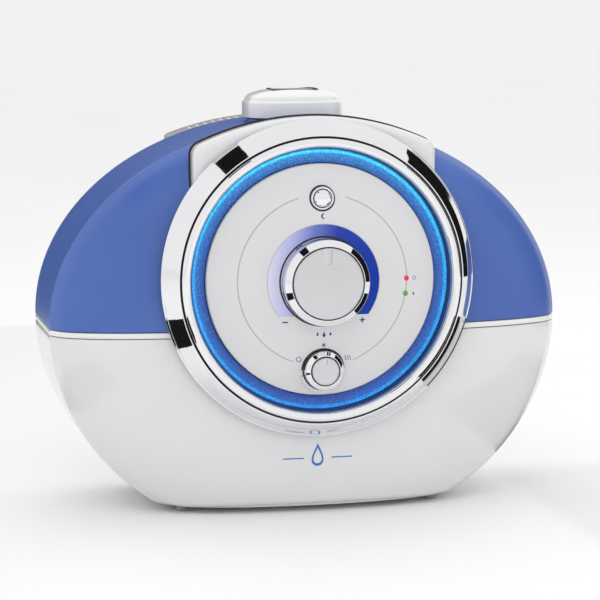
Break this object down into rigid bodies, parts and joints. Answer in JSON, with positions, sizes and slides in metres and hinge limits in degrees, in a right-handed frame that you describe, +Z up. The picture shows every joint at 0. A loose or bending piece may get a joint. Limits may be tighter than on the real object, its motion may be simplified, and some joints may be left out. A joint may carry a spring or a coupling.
{
  "type": "cool mist humidifier",
  "caption": "Free-standing oval humidifier: white base with a round control pod and light ring, lift-off blue water tank with a rear handle, turning mist nozzle, fan, float and tank valve.",
  "frame": {"origin": "on the floor, under the middle of the object's box", "axes": "+X across the front to the user's right, -Y towards the user, +Z up"},
  "size_m": [0.37, 0.2044, 0.3001],
  "materials": {
    "white_gloss": "glossy white moulded shell",
    "rim_white": "glossy white rim, basin satin inside",
    "white_matte": "satin off-white control face",
    "inner_white": "plain white moulding",
    "tank_blue": "translucent blue with a glossy outside",
    "chrome": "bright plated plastic",
    "knob_silver": "satin silver",
    "light_blue": "clear blue light ring with fine prisms",
    "cap_blue": "blue moulded cap",
    "steel": "plain steel",
    "rubber_grey": "matt rubber",
    "rubber_black": "matt rubber",
    "board_green": "solder-masked board",
    "dark_plastic": "dark moulded plastic",
    "motor_metal": "dark painted laminations",
    "aluminium": "cast and machined",
    "transducer_brass": "plated disc",
    "float_orange": "closed-cell float",
    "valve_red": "moulded valve",
    "lamp_red": "clear red lens",
    "lamp_green": "clear green lens"
  },
  "bodies": {
    "root": {"base_housing": "white_gloss", "control_tower": "white_gloss", "basin_rim": "rim_white", "basin": "rim_white", "basin_posts": "rim_white", "air_riser": "rim_white", "faceplate": "white_matte", "bottom_cover": "inner_white", "screw_posts": "inner_white", "tower_back": "inner_white", "pod_frame": "inner_white", "air_duct": "inner_white", "float_clip": "inner_white", "bezel_bead": "chrome", "chrome_bezel": "chrome", "lamp_button_ring": "chrome", "light_ring": "light_blue", "cover_screws": "steel", "pod_screws": "steel", "feet": "rubber_grey", "transducer_gasket": "rubber_black", "power_inlet": "rubber_black", "control_board": "board_green", "led_board": "board_green", "main_board": "board_green", "humidity_pot": "dark_plastic", "mode_switch": "dark_plastic", "lamp_switch": "dark_plastic", "fan_frame": "dark_plastic", "fan_motor": "motor_metal", "transformer": "motor_metal", "heat_sink": "aluminium", "transducer_clamp": "aluminium", "heater_block": "aluminium", "transducer": "transducer_brass", "power_indicator": "lamp_red", "no_water_indicator": "lamp_green"},
    "tank": {"tank_shell": "tank_blue", "tank_floor": "tank_blue", "mist_duct": "tank_blue", "filler_neck": "inner_white", "rear_handle": "white_gloss"},
    "tank_cap": {"tank_cap": "cap_blue", "cap_gasket": "rubber_black", "valve_spring": "steel"},
    "valve": {"valve_plunger": "valve_red"},
    "nozzle_seat": {"nozzle_seat": "inner_white"},
    "nozzle": {"mist_nozzle": "white_gloss"},
    "humidity_knob": {"humidity_shaft": "steel", "humidity_knob": "knob_silver", "humidity_knob_ring": "chrome"},
    "mode_knob": {"mode_shaft": "steel", "mode_knob": "knob_silver", "mode_knob_ring": "chrome"},
    "lamp_button": {"lamp_button": "knob_silver"},
    "fan": {"fan_shaft": "steel", "fan_impeller": "dark_plastic"},
    "float": {"float_ring": "float_orange"}
  },
  "joints": [
    {"name": "tank_lift", "type": "slide", "parent": "root", "child": "tank", "axis": [0, 0, 1], "range_m": [0, 0.16]},
    {"name": "cap_turn", "type": "hinge", "parent": "tank", "child": "tank_cap", "pos_m": [0.085, 0.02215, 0.106], "axis": [0, 0, -1], "range_deg": [0, 540]},
    {"name": "valve_slide", "type": "slide", "parent": "tank_cap", "child": "valve", "axis": [0, 0, 1], "range_m": [-0.004, 0], "deforming": ["valve_spring"]},
    {"name": "nozzle_lift", "type": "slide", "parent": "tank", "child": "nozzle_seat", "axis": [0, 0, 1], "range_m": [0, 0.03]},
    {"name": "nozzle_turn", "type": "hinge", "parent": "nozzle_seat", "child": "nozzle", "pos_m": [0, 0.02215, 0.28], "axis": [0, 0, 1], "continuous": true},
    {"name": "humidity_turn", "type": "hinge", "parent": "root", "child": "humidity_knob", "pos_m": [0, -0.08585, 0.17], "axis": [0, 1, 0], "range_deg": [-130, 130]},
    {"name": "mode_turn", "type": "hinge", "parent": "root", "child": "mode_knob", "pos_m": [0, -0.07985, 0.1073], "axis": [0, 1, 0], "range_deg": [-60, 60]},
    {"name": "lamp_press", "type": "slide", "parent": "root", "child": "lamp_button", "axis": [0, 1, 0], "range_m": [0, 0.0015], "stiffness_N_per_m": 400},
    {"name": "fan_spin", "type": "hinge", "parent": "root", "child": "fan", "pos_m": [-0.048, 0.02215, 0.02], "axis": [0, 0, 1], "continuous": true},
    {"name": "float_rise", "type": "slide", "parent": "root", "child": "float", "axis": [0, 0, 1], "range_m": [0, 0.01]}
  ],
  "couplings": [
    {"joint": "valve_slide", "follows": "tank_lift", "ratio": -0.025}
  ]
}
